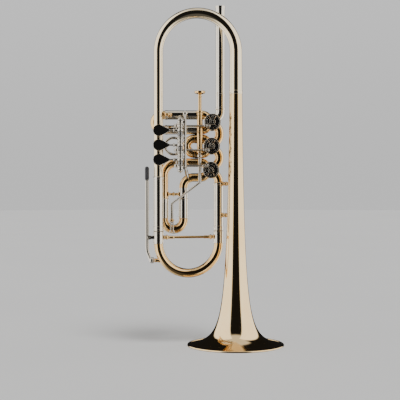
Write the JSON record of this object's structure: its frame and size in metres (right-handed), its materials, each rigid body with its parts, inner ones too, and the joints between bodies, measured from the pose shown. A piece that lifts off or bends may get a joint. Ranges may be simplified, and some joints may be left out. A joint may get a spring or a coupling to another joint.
{
  "type": "rotary valve trumpet",
  "caption": "Rotary-valve brass trumpet with finger levers, valve slides, a third-slide trigger and a water key, standing on its bell rim.",
  "frame": {"origin": "middle of the bounding box's floor, in the plane of the bell's rim", "axes": "+Z along the bell towards the mouthpiece end, +X from the water key towards the bell, -Y the side with the finger levers"},
  "size_m": [0.1912, 0.133, 0.468],
  "materials": {
    "champagne_brass": "polished",
    "gold_brass": "polished",
    "nickel_silver": "polished",
    "silver": "polished",
    "steel": "satin",
    "cork": "matte",
    "rubber": "matte"
  },
  "bodies": {
    "horn": {"bell": "champagne_brass", "bell_bow": "champagne_brass", "main_tube": "champagne_brass", "tuning_sleeve_left": "nickel_silver", "tuning_sleeve_right": "nickel_silver", "mouthpipe": "nickel_silver", "mouthpiece_receiver": "nickel_silver", "valve_casing_1": "nickel_silver", "valve_casing_2": "nickel_silver", "valve_casing_3": "nickel_silver", "bearing_plate_1": "silver", "bearing_plate_2": "silver", "bearing_plate_3": "silver", "rear_cap_1": "silver", "rear_cap_2": "silver", "rear_cap_3": "silver", "knuckle_1_2": "gold_brass", "knuckle_2_3": "gold_brass", "knuckle_3_out": "gold_brass", "first_sleeve_upper": "nickel_silver", "first_sleeve_lower": "nickel_silver", "third_sleeve_left": "nickel_silver", "third_sleeve_right": "nickel_silver", "third_slide_brace": "gold_brass", "trigger_guide": "gold_brass", "trigger_spring": "steel", "lever_axle": "silver", "lever_post": "silver", "thumb_ring": "silver", "bell_brace_upper": "gold_brass", "bell_brace_lower": "gold_brass", "tube_brace": "gold_brass"},
    "tuning_slide": {"tuning_bow": "gold_brass", "ferrule_left": "nickel_silver", "ferrule_right": "nickel_silver", "tuning_brace": "gold_brass"},
    "water_key": {"water_key_lever": "silver", "water_key_pad": "cork", "water_key_tip": "rubber", "water_key_spring": "steel"},
    "first_slide": {"first_crook": "gold_brass"},
    "second_slide": {"second_crook": "gold_brass"},
    "third_slide": {"third_crook": "gold_brass", "trigger_plunger": "silver", "trigger_arm": "silver"},
    "lever_1": {"lever_1": "silver", "lever_spring_1": "steel"},
    "rotor_1": {"rotor_1": "steel", "stop_arm_1": "silver"},
    "rod_1": {"connecting_rod_1": "silver"},
    "lever_2": {"lever_2": "silver", "lever_spring_2": "steel"},
    "rotor_2": {"rotor_2": "steel", "stop_arm_2": "silver"},
    "rod_2": {"connecting_rod_2": "silver"},
    "lever_3": {"lever_3": "silver", "lever_spring_3": "steel"},
    "rotor_3": {"rotor_3": "steel", "stop_arm_3": "silver"},
    "rod_3": {"connecting_rod_3": "silver"}
  },
  "joints": [
    {"name": "tuning_slide_draw", "type": "slide", "parent": "horn", "child": "tuning_slide", "axis": [0, 0, -1], "range_m": [0, 0.04]},
    {"name": "water_key_press", "type": "hinge", "parent": "tuning_slide", "child": "water_key", "pos_m": [-0.0892, 0, 0.1486], "axis": [0, 1, 0], "range_deg": [0, 3.5], "stiffness_Nm_per_rad": 0.2},
    {"name": "first_slide_draw", "type": "slide", "parent": "horn", "child": "first_slide", "axis": [-1, 0, 0], "range_m": [0, 0.02]},
    {"name": "second_slide_draw", "type": "slide", "parent": "horn", "child": "second_slide", "axis": [-1, 0, 0], "range_m": [0, 0.006]},
    {"name": "third_slide_trigger", "type": "slide", "parent": "horn", "child": "third_slide", "axis": [0, 0, -1], "range_m": [0, 0.018], "stiffness_N_per_m": 60, "deforming": ["trigger_spring"]},
    {"name": "lever_1_press", "type": "hinge", "parent": "horn", "child": "lever_1", "pos_m": [-0.0465, -0.027, 0.29425], "axis": [0, 0, -1], "range_deg": [0, 30], "stiffness_Nm_per_rad": 0.05},
    {"name": "rotor_1_turn", "type": "hinge", "parent": "horn", "child": "rotor_1", "pos_m": [-0.0028, 0.018, 0.3072], "axis": [0, -1, 0], "range_deg": [0, 90]},
    {"name": "rod_1_pivot", "type": "hinge", "parent": "rotor_1", "child": "rod_1", "pos_m": [-0.0086, -0.00536, 0.3014], "axis": [0, 1, 0], "range_deg": [0, 90]},
    {"name": "lever_2_press", "type": "hinge", "parent": "horn", "child": "lever_2", "pos_m": [-0.0465, -0.027, 0.27455], "axis": [0, 0, -1], "range_deg": [0, 30], "stiffness_Nm_per_rad": 0.05},
    {"name": "rotor_2_turn", "type": "hinge", "parent": "horn", "child": "rotor_2", "pos_m": [-0.00385, 0.018, 0.2742], "axis": [0, -1, 0], "range_deg": [0, 90]},
    {"name": "rod_2_pivot", "type": "hinge", "parent": "rotor_2", "child": "rod_2", "pos_m": [-0.00965, -0.00536, 0.2684], "axis": [0, 1, 0], "range_deg": [0, 90]},
    {"name": "lever_3_press", "type": "hinge", "parent": "horn", "child": "lever_3", "pos_m": [-0.0465, -0.027, 0.25485], "axis": [0, 0, -1], "range_deg": [0, 30], "stiffness_Nm_per_rad": 0.05},
    {"name": "rotor_3_turn", "type": "hinge", "parent": "horn", "child": "rotor_3", "pos_m": [-0.0049, 0.018, 0.2412], "axis": [0, 1, 0], "range_deg": [0, 90]},
    {"name": "rod_3_pivot", "type": "hinge", "parent": "rotor_3", "child": "rod_3", "pos_m": [-0.0107, -0.00536, 0.247], "axis": [0, -1, 0], "range_deg": [0, 90]}
  ],
  "couplings": [
    {"joint": "rotor_1_turn", "follows": "lever_1_press", "ratio": 3},
    {"joint": "rod_1_pivot", "follows": "lever_1_press", "ratio": 3},
    {"joint": "rotor_2_turn", "follows": "lever_2_press", "ratio": 3},
    {"joint": "rod_2_pivot", "follows": "lever_2_press", "ratio": 3},
    {"joint": "rotor_3_turn", "follows": "lever_3_press", "ratio": 3},
    {"joint": "rod_3_pivot", "follows": "lever_3_press", "ratio": 3}
  ]
}
